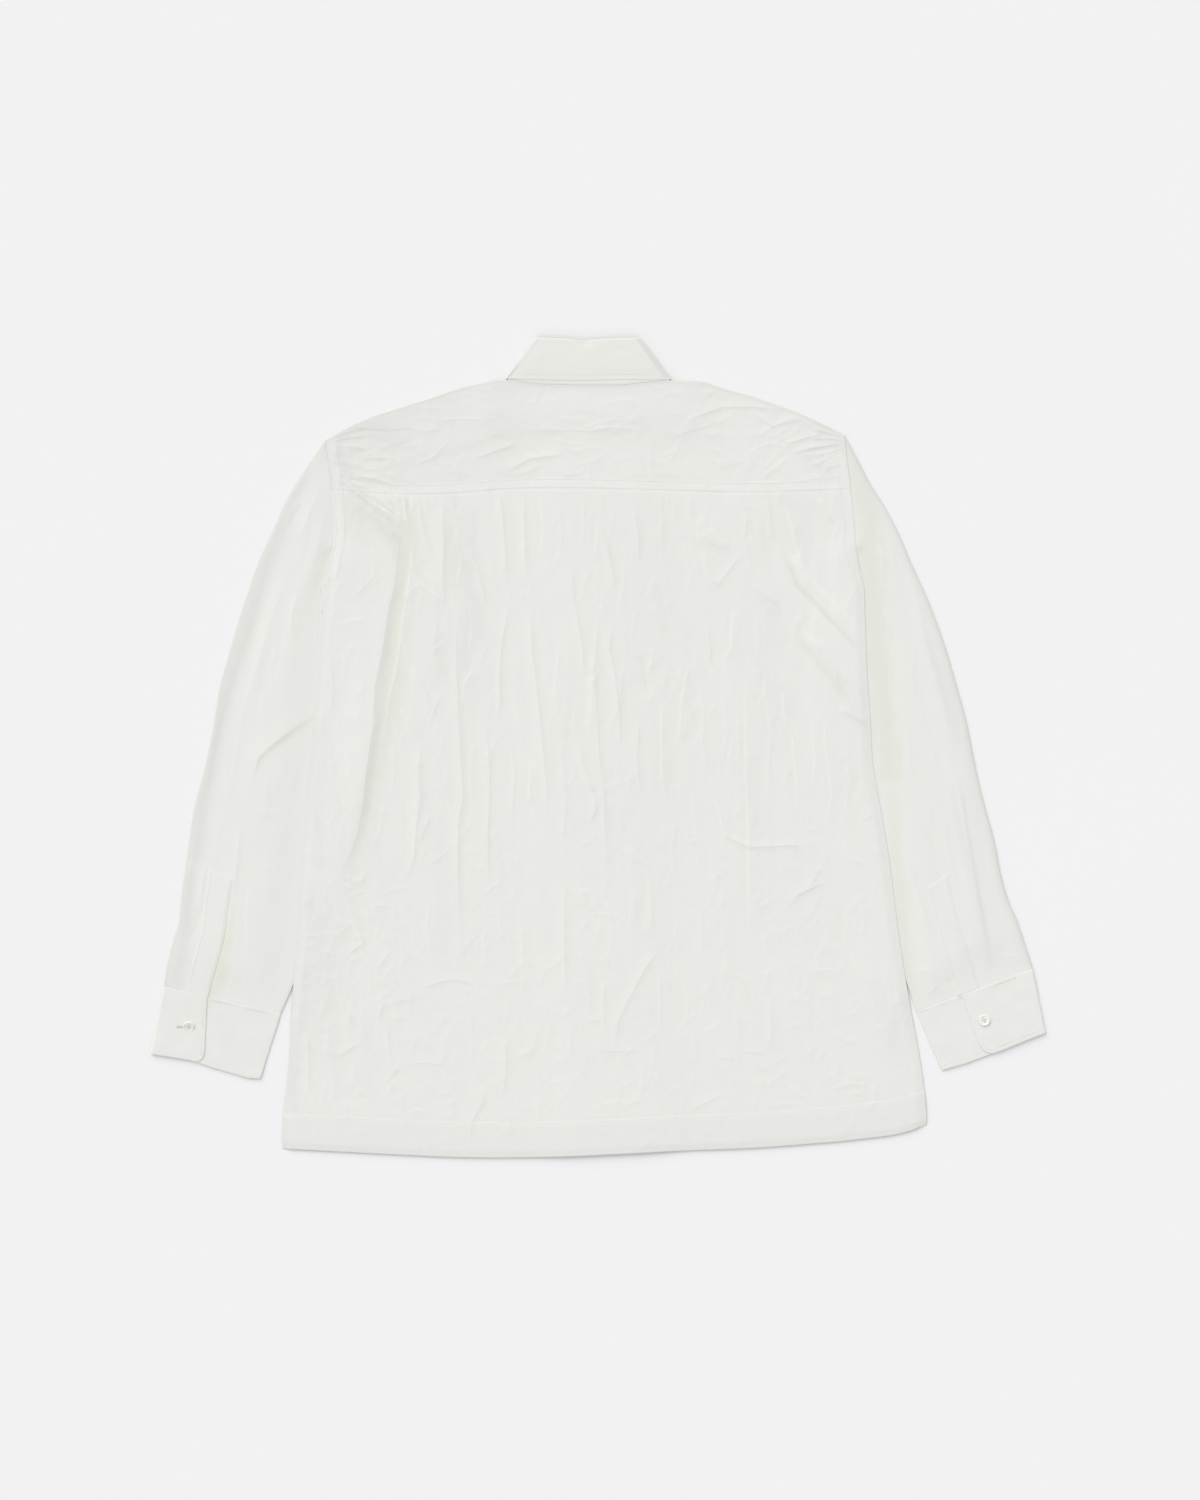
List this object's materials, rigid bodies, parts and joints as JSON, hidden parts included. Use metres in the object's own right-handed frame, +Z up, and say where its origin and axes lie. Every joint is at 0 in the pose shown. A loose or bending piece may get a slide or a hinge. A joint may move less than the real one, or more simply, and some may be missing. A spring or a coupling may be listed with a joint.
{
  "type": "long-sleeved shirt",
  "caption": "Long-sleeved button-through shirt in crinkled cotton, laid flat on its front with its back up and its sleeves beside the body.",
  "frame": {"origin": "on the surface that the shirt lies on, under the middle of its outline", "axes": "+Z up out of the surface and the shirt's back, +Y towards the collar, +X towards the wearer's right hand"},
  "size_m": [0.8956, 0.8189, 0.0106],
  "materials": {
    "cloth": "matt crinkled plain weave",
    "button": "pearly gloss"
  },
  "bodies": {
    "root": {"yoke": "cloth", "back_panel": "cloth", "front_left": "cloth", "front_right": "cloth", "collar_stand": "cloth", "collar_fall": "cloth", "sleeve_left": "cloth", "sleeve_right": "cloth", "sleeve_placket_left": "cloth", "sleeve_placket_right": "cloth", "cuff_left": "cloth", "cuff_right": "cloth", "button_cuff_left": "button", "button_cuff_right": "button", "button_collar": "button", "button_front_1": "button", "button_front_2": "button", "button_front_3": "button", "button_front_4": "button", "button_front_5": "button", "button_front_6": "button", "button_front_7": "button"}
  },
  "joints": []
}
